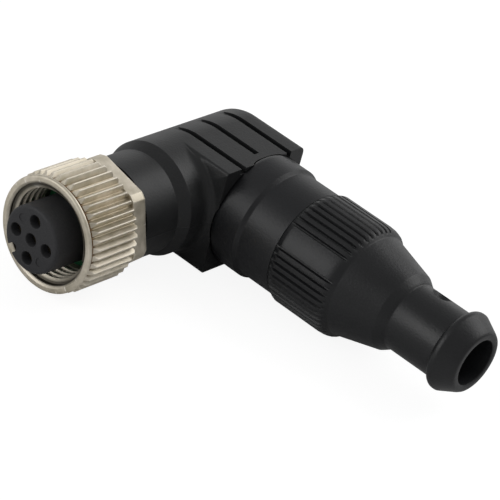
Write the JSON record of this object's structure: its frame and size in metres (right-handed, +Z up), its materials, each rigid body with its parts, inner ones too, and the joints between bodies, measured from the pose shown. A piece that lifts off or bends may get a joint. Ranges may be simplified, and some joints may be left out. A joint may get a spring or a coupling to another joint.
{
  "type": "right-angle M12 cable socket connector",
  "caption": "Right-angle round cable socket with a threaded coupling nut, contact holes in a keyed plug, an elbow housing and a ribbed gland nut for the cable.",
  "frame": {"origin": "centre of the coupling nut's mouth, on the mating axis", "axes": "-Y is the mating direction, +X is the cable's way out, +Z is up; the part lies flat on its nuts"},
  "size_m": [0.0507, 0.0377, 0.015],
  "materials": {
    "nickel_plate": "nickel-plated, satin",
    "housing_plastic": "black moulded plastic, fine satin",
    "carrier_plastic": "black moulded plastic, satin",
    "cage_plastic": "dark moulded plastic",
    "green_rubber": "matte",
    "black_rubber": "matte",
    "contact_brass": "gold flash",
    "terminal_brass": "tin-plated",
    "screw_steel": "zinc-plated"
  },
  "bodies": {
    "housing": {"contact_insert": "carrier_plastic", "seal_ring": "green_rubber", "elbow_housing": "housing_plastic", "terminal_block": "carrier_plastic", "barrel": "housing_plastic", "barrel_seal": "black_rubber", "clamping_cage": "cage_plastic", "cable_grommet": "black_rubber", "socket_contact_1": "contact_brass", "socket_contact_2": "contact_brass", "socket_contact_3": "contact_brass", "socket_contact_4": "contact_brass", "socket_contact_5": "contact_brass", "wire_clamp_1": "terminal_brass", "wire_clamp_2": "terminal_brass", "wire_clamp_3": "terminal_brass", "wire_clamp_4": "terminal_brass", "wire_clamp_5": "terminal_brass", "terminal_screw_1": "screw_steel", "terminal_screw_2": "screw_steel", "terminal_screw_3": "screw_steel", "terminal_screw_4": "screw_steel", "terminal_screw_5": "screw_steel"},
    "coupling": {"coupling_nut": "nickel_plate"},
    "slip_ring": {"pressure_ring": "cage_plastic"},
    "gland": {"gland_nut": "housing_plastic"}
  },
  "joints": [
    {"name": "nut_turn", "type": "hinge", "parent": "housing", "child": "coupling", "pos_m": [0, 0.005, 0], "axis": [0, -1, 0], "continuous": true},
    {"name": "gland_feed", "type": "slide", "parent": "housing", "child": "slip_ring", "axis": [1, 0, 0], "range_m": [0, 0.006]},
    {"name": "gland_turn", "type": "hinge", "parent": "slip_ring", "child": "gland", "pos_m": [0.021, 0.0278, 0], "axis": [1, 0, 0], "range_deg": [0, 1441]}
  ],
  "couplings": [
    {"joint": "gland_turn", "follows": "gland_feed", "rad_per_m": 4188.8}
  ]
}
